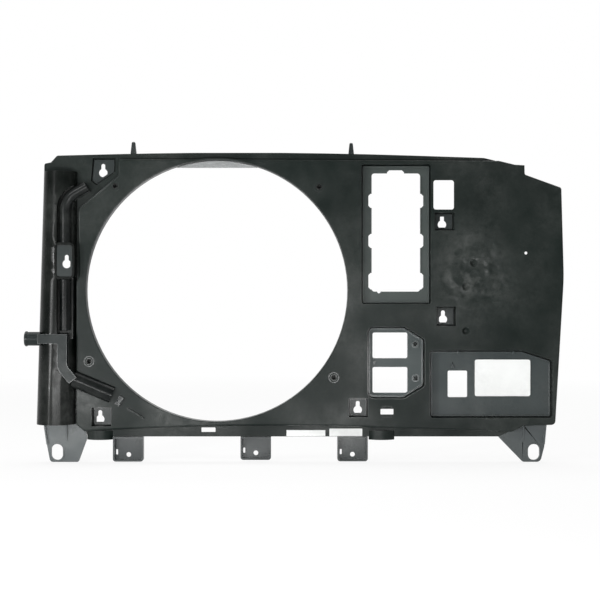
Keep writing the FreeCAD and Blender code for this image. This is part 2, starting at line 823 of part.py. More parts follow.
def module_tray():
    wire = tray_plate_outline()
    front = ledge + plate
    frame = label_outline(fit)
    raised = prism(grown(frame, label_frame), front + label_frame, front)
    low, high = catch_z
    ramp = outline([(catch_x - 5, low), (catch_x + 5, low), (catch_x - 1, high)])
    solids = [prism(wire, front, ledge), raised_rim(wire, front),
              raised.cut(prism(frame, front + wall, front)),
              tapered(grown(ramp, -rim_width), front + rim_height, front, -rim_width / 2)]
    first, second = tray_tab_insets
    for x in (tray_left + first, panel_right - tray_inset - second):
        solids.append(box(x - rim_height / 2, x + rim_height / 2, tray_top - wall,
                          tray_top + plate_gap, plateau_depth - wall, ledge))
    return join(solids).cut(prism(rectangle(*tray_window, 2), front + wall, 0))


# ---- Feet, lugs, pins, inserts, clip and labels ----------------------------------------------
def foot(wire, slot, rib_at, edge):
    """A foot with an oblong slot in a raised ring, a tapering gusset and an edge rib."""
    x, z = slot
    half = foot_slot_height / 2
    hole = rectangle(x - foot_slot_half, x + foot_slot_half, z - half, z + half,
                     foot_slot_half - fit)
    ring = prism(grown(hole, foot_rim), foot_depth + 1, foot_depth)
    gusset_x, gusset_top, gusset_low = rib_at
    profile = [(-foot_depth, gusset_top), (-foot_depth - foot_rim_height, gusset_top),
               (-foot_depth, gusset_low)]
    corners = [FreeCAD.Vector(gusset_x - foot_rim / 2, y, z) for y, z in profile]
    gusset = Part.Face(Part.makePolygon(corners + corners[:1]))
    gusset = gusset.extrude(FreeCAD.Vector(foot_rim, 0, 0))
    edge_rib = bar(*edge, foot_rim, foot_depth + foot_rim_height, foot_depth)
    plate_solid = prism(wire, foot_depth)
    space = prism(wire, 2 * foot_depth + foot_rim_height)
    extras = [shape.common(space) for shape in (ring, gusset, edge_rib)]
    return join([plate_solid] + extras).cut(prism(hole, 3 * foot_depth, -foot_depth))


def foot_left():
    low, corner, hip = foot_left_corners
    gap, rise, side_z = foot_left_side
    side_x = flange_left - gap
    wire = outline([(panel_left_bottom + foot_left_inset, panel_foot_z),
                    (left_wall_x, panel_foot_z), lower_left_step,
                    (side_x, flange_bottom + rise), (side_x, side_z, 2),
                    low + (3,), corner + (5,), hip + (12,)])
    gusset_x, gusset_low = foot_left_gusset
    rib_top, rib_low, rib_end = foot_left_rib
    return foot(wire, foot_left_slot, (gusset_x, panel_foot_z, gusset_low),
                ((rib_top, panel_foot_z), (rib_low, rib_end)))


def foot_right():
    inner, outer = from_right(lower_right_steps)
    top, hip, corner, low = from_right(foot_right_corners)
    slot = from_right([foot_right_slot])[0]
    gusset_inset, gusset_top, gusset_low = foot_right_gusset
    wire = outline([(panel_right - flange_inset, flange_bottom), outer, inner, top, hip + (20,),
                    corner + (7,), low + (5,)])
    return foot(wire, slot, (panel_right - gusset_inset, gusset_top, gusset_low),
                from_right(foot_right_rib))


def lug(side):
    """Shallow box under the bottom flange, open to the front, with a hole and a slot."""
    x, low = lug_centres[side]
    half = lug_width / 2
    outer = outline([(x - half, low, lug_round), (x + half, low, lug_round),
                     (x + half, flange_bottom), (x - half, flange_bottom)])
    slot_x = x - half + 2 * wall
    slot_z = low + lug_hole_rise
    return prism(outer, lug_depth).cut(
        [prism(grown(outer, -wall), 2 * lug_depth, flange_depth),
         rod(x, slot_z, lug_hole_radius, lug_depth, -wall),
         prism(rectangle(slot_x - 1.4, slot_x + 1.4, slot_z, slot_z + 7.5, 1), lug_depth, -wall)])


def frustum(x, low, high):
    """Square frustum between two heights, each with its half width."""
    (z0, foot_half), (z1, head_half) = low, high
    solid = Part.makeWedge(-foot_half, z0, -foot_half, -head_half, -head_half,
                           foot_half, z1, foot_half, head_half, head_half)
    solid.rotate(FreeCAD.Vector(0, 0, 0), FreeCAD.Vector(1, 0, 0), 90)
    solid.translate(FreeCAD.Vector(x, -bay_depth / 2, 0))
    return solid


def locating_pin(side, panel):
    """Tapered pin: its root sits in the socket, its shoulder on the top edge."""
    x, tip = pin_places[side]
    shoulder = tip - pin_height
    heights = [(shoulder - wall / 2, pin_base), (shoulder, pin_base), (tip - pin_nose, pin_tip),
               (tip, pin_tip - pin_nose)]
    prong = [frustum(x, low, high) for low, high in zip(heights, heights[1:])]
    return join(prong + [pin_root_rod(x, tip)]).cut(panel)


def sleeve(x, z, outer, inner, front, length):
    return rod(x, z, outer, front, front - length).cut(
        rod(x, z, inner, front + length, front - 2 * length))


def fan_mount_inserts():
    front = plateau_depth + boss_rise
    return Part.makeCompound([sleeve(x, z, fan_insert_radius, fan_thread_radius, front,
                                     fan_insert_length) for x, z in fan_mounts()])


def resistor_inserts():
    front = ledge + plate + screw_rise
    return Part.makeCompound([sleeve(x, z, resistor_insert_radius, resistor_thread_radius,
                                     front, resistor_insert_length)
                              for x, z in resistor_screws])


def cable_clip():
    """Saddle with two grooved fins across the cable, and a peg through the panel."""
    half_l, half_w = clip_length / 2, clip_width / 2
    base = plateau_depth + clip_base
    top = plateau_depth + clip_height
    solids = [box(-half_w, half_w, -half_l, half_l, base, plateau_depth)]
    for side in (-1, 1):
        x = side * (half_w - clip_fin / 2)
        solids.append(box(x - clip_fin / 2, x + clip_fin / 2, -half_l, half_l, top, base))
    solids.append(rod(0, 0, clip_peg_radius, base, plateau_depth - 2 * wall))
    groove = Part.makeCylinder(clip_groove, 2 * clip_width,
                               FreeCAD.Vector(-clip_width, -top, 0), FreeCAD.Vector(1, 0, 0))
    clip = join(solids).cut(groove)
    clip.rotate(FreeCAD.Vector(0, 0, 0), FreeCAD.Vector(0, -1, 0), clip_tilt)
    clip.translate(point(*clip_centre))
    return clip


def data_label():
    front = ledge + plate
    return prism(label_outline(), front + label_thickness, front)


def stock_labels():
    front = flange_depth + label_thickness
    return Part.makeCompound([box(*spot, front, flange_depth) for spot in stock_label_boxes])


def build():
    """All the pieces by name."""
    panel = main_panel()
    pieces = {"main_panel": panel, "tank_cover": tank_cover(),
              "vent_tube_cover_upper": vent_tube_cover_upper(),
              "vent_tube_cover_lower": vent_tube_cover_lower(),
              "pipe_channel": pipe_channel(), "hose_guard": hose_guard(),
              "flap_frame": flap_frame(), "resistor_plate": resistor_plate(),
              "module_tray": module_tray(), "keyhole_plate_mid_left": stand_plate(),
              "foot_left": foot_left(), "foot_right": foot_right(),
              "fan_mount_inserts": fan_mount_inserts(), "resistor_inserts": resistor_inserts(),
              "cable_clip": cable_clip(), "data_label": data_label(),
              "stock_labels": stock_labels()}
    for name, (wire, hole, depth) in keyhole_plates().items():
        pieces["keyhole_plate_" + name] = keyhole_plate(wire, hole, ledge)
    for side in lug_centres:
        pieces["lug_" + side] = lug(side)
    for side in pin_places:
        pieces["locating_pin_" + side] = locating_pin(side, panel)
    return pieces


if __name__ == "__main__":
    os.makedirs("parts", exist_ok=True)
    for name, shape in build().items():
        shape.exportStep("parts/" + name + ".step")
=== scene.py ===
import json
import math

import bmesh
import bpy
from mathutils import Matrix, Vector


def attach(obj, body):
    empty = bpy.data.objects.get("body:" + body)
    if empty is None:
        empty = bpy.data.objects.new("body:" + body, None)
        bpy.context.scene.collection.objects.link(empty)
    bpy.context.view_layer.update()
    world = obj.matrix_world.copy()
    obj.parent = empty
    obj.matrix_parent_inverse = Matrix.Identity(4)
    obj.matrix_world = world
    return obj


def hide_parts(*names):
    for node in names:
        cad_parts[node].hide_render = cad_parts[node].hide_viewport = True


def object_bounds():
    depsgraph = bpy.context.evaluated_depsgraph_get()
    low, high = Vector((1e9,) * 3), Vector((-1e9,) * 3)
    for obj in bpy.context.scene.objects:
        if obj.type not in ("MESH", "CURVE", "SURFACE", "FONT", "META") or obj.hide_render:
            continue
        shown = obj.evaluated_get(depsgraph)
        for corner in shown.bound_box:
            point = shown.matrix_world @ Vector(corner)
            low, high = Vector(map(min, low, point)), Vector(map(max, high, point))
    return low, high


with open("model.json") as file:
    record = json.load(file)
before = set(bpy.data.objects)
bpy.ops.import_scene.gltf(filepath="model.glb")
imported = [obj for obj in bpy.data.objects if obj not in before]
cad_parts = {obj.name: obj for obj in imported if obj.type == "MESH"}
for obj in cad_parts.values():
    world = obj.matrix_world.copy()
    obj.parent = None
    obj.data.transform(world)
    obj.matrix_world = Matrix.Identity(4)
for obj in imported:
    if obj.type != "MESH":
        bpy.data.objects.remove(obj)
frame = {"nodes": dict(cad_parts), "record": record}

bl_info = {
    "name": "Radiator fan shroud",
    "version": (1, 0, 0),
    "blender": (4, 5, 0),
    "location": "View3D > Sidebar > Shroud",
    "description": "Finishes the moulded pieces of a radiator fan shroud round its solids",
    "category": "Object",
}

MM = 0.001
LOW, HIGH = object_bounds()
KEY_PLATES = ("top_left", "mid_left", "low_left", "low_centre", "upper_right", "mid_right")

# Meshes: corners this near are one corner, faces that turn less than FLAT are one flat face,
# and edges that turn more than CREASE are rounded
MERGE = 0.002 * MM
FLAT = math.radians(0.5)
CREASE = math.radians(35)

# Plastics: the grey of dust and of painted sheen, and how far each effect moves the plastic towards
# it; haze and flow marks move it there as painted sheen
DUST_AND_SHEEN_GREY = (0.11, 0.115, 0.11)
PALER = {"Haze": 0.35, "Flow marks": 0.8, "Dust": 0.7, "Edge wear": 0.45, "Scuffs": 0.55}
# The clear coat of a polished edge, what dust adds to roughness and haze takes from it, the
# height of the flow marks' rings over that of the waves, and how deep the textures are
POLISH, COAT_ROUGHNESS = 0.5, 0.14
DUST_ROUGHENS, HAZE_SMOOTHS = 0.3, 0.25
RING_HEIGHT = 0.25
GRAIN_DEPTH = 0.12 * MM
FOAM_PORE_DEPTH = 0.4 * MM
# Each direction of scratches: its turn in radians, and how thin they are drawn
SCRATCHES = ((0.5, 14.0), (-1.1, 20.0))

# Threaded inserts: the knurls' height and the thread's radius over the pitch, a knurl's width
# over its height, and how much of the length the thread and the knurls take
KNURL_HEIGHT, CREST_RADIUS = 0.35, 0.4
RIDGE_WIDTH = 1.4
THREAD_RUN, RIDGE_RUN = 0.84, 0.8

# Stage, in metres: each light's place, what it faces, its width and its height
WHITE = (1.0, 1.0, 1.0, 1.0)
LIGHTS = {
    "key": ((-0.1, -1.1, LOW.z + 0.07), (-0.05, 0.0, -0.12), 1.0, 0.12),
    "side": ((-1.35, -1.55, LOW.z + 0.24), (-0.2, 0.0, -0.05), 0.13, 0.42),
    "corner": ((-1.0, -1.4, 1.0), (-0.1, 0.0, 0.1), 0.3, 0.3),
    "top": ((0.1, 0.2, 1.8), (0.1, 0.1, 0.0), 2.2, 1.2),
}
# Floor: how far it reaches; up to SHADOW_NEAR from the origin the camera sees GLOW_NEAR of it as
# plain white, which rises to all of it at SHADOW_FAR
FLOOR_REACH = 12.0
SHADOW_NEAR, SHADOW_FAR, GLOW_NEAR = 0.8, 2.2, 0.86
# Surround: the depth of a direction at which its mirror image starts to rise from the room's
# strength, and where it is white
BACKDROP_FROM, BACKDROP_TO = -0.15, 0.25
# Camera: its place in metres, and its lens and sensor in millimetres
EYE = (117.8 * MM, -1918 * MM, -13.0 * MM)
LENS, SENSOR = 80.73, 36.0


# ---- Node trees ---------------------------------------------------------------------------
def add(tree, kind, inputs=None, **settings):
    """Add a node; its inputs are values, or the outputs of other nodes to link."""
    node = tree.nodes.new(kind)
    for key, value in settings.items():
        setattr(node, key, value)
    for key, value in (inputs or {}).items():
        socket = node.inputs[key]
        if isinstance(value, bpy.types.NodeSocket):
            tree.links.new(value, socket)
        else:
            socket.default_value = value
    return node


def math_node(tree, operation, *values, clamp=False):
    """The result of one Math operation on one or two values."""
    inputs = dict(enumerate(values))
    return add(tree, "ShaderNodeMath", inputs, operation=operation, use_clamp=clamp).outputs[0]


def ramp(tree, value, low, high, out_low=0.0, out_high=1.0):
    """The value carried from low..high to out_low..out_high, and held at the ends."""
    inputs = {0: value, 1: low, 2: high, 3: out_low, 4: out_high}
    return add(tree, "ShaderNodeMapRange", inputs, clamp=True).outputs[0]


def mix_colour(tree, share, first, second):
    """The first colour moved towards the second; 6, 7 and 2 are the node's colour sockets."""
    inputs = {0: share, 6: first, 7: second}
    return add(tree, "ShaderNodeMix", inputs, data_type="RGBA").outputs[2]


def noise(tree, vector, scale, detail=4.0, roughness=0.55):
    """Noise between 0 and 1; the scale is roughly in patches per metre."""
    inputs = {"Vector": vector, "Scale": scale, "Detail": detail, "Roughness": roughness}
    return add(tree, "ShaderNodeTexNoise", inputs).outputs[0]


def shader_group(name, inputs, outputs):
    """An empty node group with named sockets; returns it, its inputs and its outputs."""
    group = bpy.data.node_groups.new(name, "ShaderNodeTree")
    for label, kind, default in inputs:
        socket = group.interface.new_socket(label, in_out="INPUT", socket_type=kind)
        if default is not None:
            socket.default_value = default
    for label, kind in outputs:
        group.interface.new_socket(label, in_out="OUTPUT", socket_type=kind)
    start = group.nodes.new("NodeGroupInput")
    end = group.nodes.new("NodeGroupOutput")
    return group, start.outputs, end.inputs


FLOAT, VECTOR = "NodeSocketFloat", "NodeSocketVector"


def grain_group():
    """Fine moulded grain: a height, and a roughness that varies a little with it."""
    group, given, out = shader_group(
        "Moulded grain",
        [("Vector", VECTOR, None), ("Scale", FLOAT, 900.0), ("Broad scale", FLOAT, 14.0),
         ("Roughness", FLOAT, 0.4), ("Variation", FLOAT, 0.12)],
        [("Height", FLOAT), ("Roughness", FLOAT)])
    fine = noise(group, given["Vector"], given["Scale"], 3.0, 0.6)
    broad = noise(group, given["Vector"], given["Broad scale"], 3.0, 0.5)
    spread = math_node(group, "MULTIPLY", math_node(group, "SUBTRACT", broad, 0.5),
                       given["Variation"])
    group.links.new(fine, out["Height"])
    group.links.new(math_node(group, "ADD", given["Roughness"], spread, clamp=True),
                    out["Roughness"])


def dust_group():
    """Pale dust that lies in patches, more where a face looks upwards."""
    group, given, out = shader_group(
        "Dust", [("Vector", VECTOR, None), ("Amount", FLOAT, 0.2), ("Scale", FLOAT, 20.0),
                 ("Speck scale", FLOAT, 420.0)],
        [("Mask", FLOAT)])
    normal = add(group, "ShaderNodeNewGeometry").outputs["Normal"]
    up = add(group, "ShaderNodeSeparateXYZ", {0: normal}).outputs[2]
    facing = ramp(group, up, -0.2, 1.0, 0.5, 1.6)
    patches = ramp(group, noise(group, given["Vector"], given["Scale"], 5.0, 0.65), 0.42, 0.72)
    specks = noise(group, given["Vector"], given["Speck scale"], 2.0, 0.5)
    specks = ramp(group, specks, 0.6, 0.78)
    both = math_node(group, "ADD", patches, math_node(group, "MULTIPLY", specks, 0.5))
    mask = math_node(group, "MULTIPLY", math_node(group, "MULTIPLY", both, facing),
                     given["Amount"], clamp=True)
    group.links.new(mask, out["Mask"])


def wear_group():
    """Rubbed edges: where a rounded normal leaves the face's own.

    Mask is broken up by noise, for a paler colour. Polish isn't, for a coat.
    """
    group, given, out = shader_group(
        "Edge wear", [("Vector", VECTOR, None), ("Radius", FLOAT, 0.0012),
                      ("Amount", FLOAT, 0.5), ("Scale", FLOAT, 60.0)],
        [("Mask", FLOAT), ("Polish", FLOAT)])
    rounded = add(group, "ShaderNodeBevel", {"Radius": given["Radius"]}, samples=6).outputs[0]
    flat = add(group, "ShaderNodeNewGeometry").outputs["Normal"]
    agree = add(group, "ShaderNodeVectorMath", {0: rounded, 1: flat},
                operation="DOT_PRODUCT").outputs["Value"]
    edge = ramp(group, agree, 0.995, 0.85)
    group.links.new(ramp(group, agree, 0.998, 0.94), out["Polish"])
    broken = ramp(group, noise(group, given["Vector"], given["Scale"], 5.0, 0.7), 0.35, 0.65)
    mask = math_node(group, "MULTIPLY", math_node(group, "MULTIPLY", edge, broken),
                     given["Amount"], clamp=True)
    group.links.new(mask, out["Mask"])


def scuff_group():
    """Long faint scratches from handling and storage, in two directions."""
    group, given, out = shader_group(
        "Scuffs", [("Vector", VECTOR, None), ("Amount", FLOAT, 0.3), ("Scale", FLOAT, 42.0),
                   ("Patch scale", FLOAT, 9.0)],
        [("Mask", FLOAT)])
    masks = []
    for turn, stretch in SCRATCHES:
        mapped = add(group, "ShaderNodeMapping",
                     {"Vector": given["Vector"], "Rotation": (0.0, turn, 0.0),
                      "Scale": (1.0, 1.0, stretch)}).outputs[0]
        lines = noise(group, mapped, given["Scale"], 2.0, 0.5)
        masks.append(ramp(group, lines, 0.68, 0.74))
    patches = noise(group, given["Vector"], given["Patch scale"], 2.0, 0.5)
    where = ramp(group, patches, 0.5, 0.7)
    both = math_node(group, "MAXIMUM", masks[0], masks[1])
    mask = math_node(group, "MULTIPLY", math_node(group, "MULTIPLY", both, where),
                     given["Amount"], clamp=True)
    group.links.new(mask, out["Mask"])


def haze_sheen_group():
    """Broad cloudy patches where the moulding is shinier or greasier, paler in colour as painted
    sheen, and its gentle waves.
    """
    group, given, out = shader_group(
        "Haze", [("Vector", VECTOR, None), ("Amount", FLOAT, 0.3), ("Scale", FLOAT, 9.0),
                 ("Fine scale", FLOAT, 90.0), ("Wave scale", FLOAT, 16.0)],
        [("Mask", FLOAT), ("Waves", FLOAT)])
    cloud = noise(group, given["Vector"], given["Scale"], 2.0, 0.45)
    fine = noise(group, given["Vector"], given["Fine scale"], 5.0, 0.75)
    # The patches' paler colour is painted sheen; their smoothing of the roughness is the moulding's
    # own.
    sheen_patch = math_node(group, "MULTIPLY", ramp(group, cloud, 0.40, 0.70),
                      ramp(group, fine, 0.32, 0.68, 0.2, 1.0))
    group.links.new(math_node(group, "MULTIPLY", sheen_patch, given["Amount"], clamp=True),
                    out["Mask"])
    group.links.new(noise(group, given["Vector"], given["Wave scale"], 1.0, 0.4), out["Waves"])


def flow_sheen_group():
    """Where the melt met round a gate: rings that die away, and a smear of paler colour that is
    painted sheen.

    Ring angle is the angle, in radians, that the rings' wave turns through over the reach.
    """
    group, given, out = shader_group(
        "Flow marks", [("Vector", VECTOR, None), ("Gate", VECTOR, None),
                       ("Reach", FLOAT, 0.06), ("Amount", FLOAT, 0.0),
                       ("Ring angle", FLOAT, 16.0), ("Bend", FLOAT, 0.8),
                       ("Bend scale", FLOAT, 30.0), ("Smear scale", FLOAT, 38.0)],
        [("Mask", FLOAT), ("Height", FLOAT)])
    from_gate = add(group, "ShaderNodeVectorMath", {0: given["Vector"], 1: given["Gate"]},
                    operation="SUBTRACT").outputs[0]
    distance = add(group, "ShaderNodeVectorMath", {0: from_gate},
                   operation="LENGTH").outputs["Value"]
    share = math_node(group, "DIVIDE", distance, given["Reach"])
    near = math_node(group, "MULTIPLY", ramp(group, share, 0.15, 1.0, 1.0, 0.0),
                     given["Amount"])
    bends = noise(group, given["Vector"], given["Bend scale"], 2.0, 0.5)
    bent = math_node(group, "ADD", share, math_node(group, "MULTIPLY", bends, given["Bend"]))
    rings = math_node(group, "SINE", math_node(group, "MULTIPLY", bent, given["Ring angle"]))
    # The smear's paler colour is painted sheen; the rings are real bumps.
    sheen_smear = noise(group, given["Vector"], given["Smear scale"], 4.0, 0.6)
    sheen_smear = ramp(group, sheen_smear, 0.48, 0.68)
    group.links.new(math_node(group, "MULTIPLY", near, sheen_smear, clamp=True), out["Mask"])
    group.links.new(math_node(group, "MULTIPLY", rings, near), out["Height"])


def build_groups():
    """Build each effect once, before the materials that use it."""
    for make in (grain_group, dust_group, wear_group, scuff_group, haze_sheen_group, flow_sheen_group):
        make()


# ---- Materials ----------------------------------------------------------------------------
def use_group(tree, name, inputs):
    """Place an effect in a material with its own values, and give its outputs."""
    return add(tree, "ShaderNodeGroup", inputs, node_tree=bpy.data.node_groups[name]).outputs


def material_tree(name):
    """A new material's empty tree."""
    material = bpy.data.materials.new(name)
    material.use_nodes = True
    material.node_tree.nodes.clear()
    return material.node_tree


def object_place(tree):
    """The place on the piece that its patterns read."""
    return add(tree, "ShaderNodeTexCoord").outputs["Object"]


def end_material(tree, shader):
    """Link the finished shader to the material's output."""
    tree.links.new(shader.outputs[0], add(tree, "ShaderNodeOutputMaterial").inputs[0])


def gate_place():
    """Where the right field was filled: out from midway between its two keyholes."""
    upper, lower = (Vector(mount(name)["pos_m"])
                    for name in ("keyhole_upper_right", "keyhole_mid_right"))
    return (upper + lower) / 2 + Vector((size("gate_reach"), 0.0, 0.0))


def scaled(colour, share):
    """The colour made lighter or darker, with its alpha."""
    return tuple(c * share for c in colour) + (1.0,)


def pale(colour, share):
    """The colour moved towards the grey of dust and painted sheen, with its alpha."""
    return tuple(c + (d - c) * share for c, d in zip(colour, DUST_AND_SHEEN_GREY)) + (1.0,)


def moulded(name, colour, rough, gloss, dust=0.10, wear=0.15, scuffs=0.2, grain=0.4, haze=0.7,
            waves=3.0, flow=0.0):
    """Moulded plastic: base colour with dust, rubbed edges, scuffs and the painted sheen of haze
    and flow marks, grain and waves.
    """
    tree = material_tree(name)
    place = object_place(tree)
    effects = {"Haze": {"Amount": haze}, "Dust": {"Amount": dust}, "Edge wear": {"Amount": wear},
               "Scuffs": {"Amount": scuffs}}
    if flow:
        effects["Flow marks"] = {"Amount": flow, "Gate": gate_place()}
    shade = mix_colour(tree, ramp(tree, noise(tree, place, 7.0, 3.0, 0.5), 0.35, 0.65),
                       scaled(colour, 0.9), scaled(colour, 1.1))
    made = {}
    # Dust, rubbed edges and scuffs pale the plastic as its own marks; haze and flow marks pale it
    # as painted sheen.
    for effect, share in PALER.items():
        if effect in effects:
            made[effect] = use_group(tree, effect, {"Vector": place, **effects[effect]})
            shade = mix_colour(tree, made[effect]["Mask"], shade, pale(colour, share))
    grained = use_group(tree, "Moulded grain", {"Vector": place, "Roughness": rough})
    dusted = math_node(tree, "MULTIPLY", made["Dust"]["Mask"], DUST_ROUGHENS)
    hazed = math_node(tree, "MULTIPLY", made["Haze"]["Mask"], HAZE_SMOOTHS)
    rougher = math_node(tree, "ADD", grained["Roughness"], dusted, clamp=True)
    rougher = math_node(tree, "SUBTRACT", rougher, hazed, clamp=True)
    height = made["Haze"]["Waves"]
    if flow:
        rings = math_node(tree, "MULTIPLY", made["Flow marks"]["Height"], RING_HEIGHT)
        height = math_node(tree, "ADD", height, rings)
    waved = add(tree, "ShaderNodeBump", {"Height": height, "Strength": 1.0,
                                         "Distance": waves * MM}).outputs[0]
    bump = add(tree, "ShaderNodeBump", {"Height": grained["Height"], "Strength": grain,
                                        "Distance": GRAIN_DEPTH, "Normal": waved}).outputs[0]
    coat = math_node(tree, "MULTIPLY", made["Edge wear"]["Polish"], POLISH)
    end_material(tree, add(tree, "ShaderNodeBsdfPrincipled",
                           {"Base Color": shade, "Roughness": rougher, "Normal": bump,
                            "Specular IOR Level": gloss, "Coat Roughness": COAT_ROUGHNESS,
                            "Coat Weight": coat}))


def metal(name, colour, rough):
    """Dull metal, mottled in its colour and its roughness."""
    tree = material_tree(name)
    place = object_place(tree)
    shade = mix_colour(tree, noise(tree, place, 260.0, 4.0, 0.6), scaled(colour, 0.7),
                       scaled(colour, 1.0))
    rougher = ramp(tree, noise(tree, place, 500.0, 3.0, 0.6), 0.3, 0.7, rough - 0.1, rough + 0.15)
    end_material(tree, add(tree, "ShaderNodeBsdfPrincipled",
                           {"Base Color": shade, "Roughness": rougher, "Metallic": 1.0}))


def foam(name, colour):
    """Open-celled foam, its pores painted darker as painted shade."""
    tree = material_tree(name)
    place = object_place(tree)
    cells = add(tree, "ShaderNodeTexVoronoi", {"Vector": place, "Scale": 900.0}).outputs[0]
    # The pores' darker colour is painted shade.
    shade = mix_colour(tree, ramp(tree, cells, 0.1, 0.6), scaled(colour, 0.55),
                       scaled(colour, 1.0))
    shade = mix_colour(tree, ramp(tree, noise(tree, place, 30.0), 0.4, 0.7, 0.0, 0.4), shade,
                       scaled(colour, 1.3))
    bump = add(tree, "ShaderNodeBump", {"Height": cells, "Strength": 0.6,
                                        "Distance": FOAM_PORE_DEPTH}).outputs[0]
    end_material(tree, add(tree, "ShaderNodeBsdfPrincipled",
                           {"Base Color": shade, "Roughness": 0.9, "Normal": bump,
                            "Specular IOR Level": 0.2}))


# ---- Mesh helpers -------------------------------------------------------------------------
def link(name, mesh, material, slot, *nodes):
    """Put a finished mesh in the scene for these solids: it rides with the root body and replaces
    them.
    """
    piece = bpy.data.objects.new(name, mesh)
    bpy.context.scene.collection.objects.link(piece)
    mesh.materials.clear()
    mesh.materials.append(bpy.data.materials[material])
    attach(piece, "root")
    if nodes:
        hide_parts(*nodes)


def baked(piece):
    """The piece's mesh with its modifiers applied, and the modifiers gone."""
    graph = bpy.context.evaluated_depsgraph_get()
    mesh = bpy.data.meshes.new_from_object(piece.evaluated_get(graph))
    bpy.data.objects.remove(piece)
    return mesh


def rounded_copy(node, radius, segments):
    """The solid's mesh with its doubles merged, flat faces joined and its edges rounded."""
    mesh = frame["nodes"][node].data.copy()
    work = bmesh.new()
    work.from_mesh(mesh)
    bmesh.ops.remove_doubles(work, verts=work.verts, dist=MERGE)
    bmesh.ops.dissolve_limit(work, angle_limit=FLAT, verts=work.verts, edges=work.edges)
    work.to_mesh(mesh)
    work.free()
    for polygon in mesh.polygons:
        polygon.use_smooth = True
    mesh.set_sharp_from_angle(angle=CREASE)
    piece = bpy.data.objects.new("work", mesh)
    bpy.context.scene.collection.objects.link(piece)
    bevel = piece.modifiers.new("Rounding", "BEVEL")
    bevel.width = radius
    bevel.segments = segments
    bevel.limit_method = "ANGLE"
    bevel.angle_limit = CREASE
    bevel.miter_outer = "MITER_SHARP"
    bevel.use_clamp_overlap = True
    bevel.harden_normals = True
    weighted = piece.modifiers.new("Flat faces stay flat", "WEIGHTED_NORMAL")
    weighted.keep_sharp = True
    weighted.weight = 100
    return baked(piece)


def dress(nodes, material, slot, radius, segments=2):
    """Replace each solid with its rounded copy, in one material; the slot is not used."""
    for node in nodes:
        link("moulded_" + node, rounded_copy(node, radius, segments), material, slot, node)


# ---- Geometry node trees ------------------------------------------------------------------
def geometry_tree(name, inputs):
    """An empty geometry tree with named inputs; returns it with their sockets."""
    tree = bpy.data.node_groups.new(name, "GeometryNodeTree")
    tree.interface.new_socket("Geometry", in_out="INPUT", socket_type="NodeSocketGeometry")
    for label, kind, default in inputs:
        socket = tree.interface.new_socket(label, in_out="INPUT", socket_type=kind)
        if default is not None:
            socket.default_value = default
    tree.interface.new_socket("Geometry", in_out="OUTPUT", socket_type="NodeSocketGeometry")
    return tree, tree.nodes.new("NodeGroupInput").outputs


def end_tree(tree, geometry, material):
    """Finish a tree: real meshes for every copy, then the material."""
    real = add(tree, "GeometryNodeRealizeInstances", {0: geometry}).outputs[0]
    dressed = add(tree, "GeometryNodeSetMaterial", {"Geometry": real, "Material": material})
    out = tree.nodes.new("NodeGroupOutput")
    tree.links.new(dressed.outputs[0], out.inputs[0])


def vector_of(tree, x=0.0, y=0.0, z=0.0):
    """A vector from three values, given or linked."""
    return add(tree, "ShaderNodeCombineXYZ", {0: x, 1: y, 2: z}).outputs[0]


def turned(tree, geometry, x=0.0, z=0.0):
    """The geometry turned about the x or z axis, in radians."""
    inputs = {"Geometry": geometry, "Rotation": (x, 0.0, z)}
    return add(tree, "GeometryNodeTransform", inputs).outputs[0]


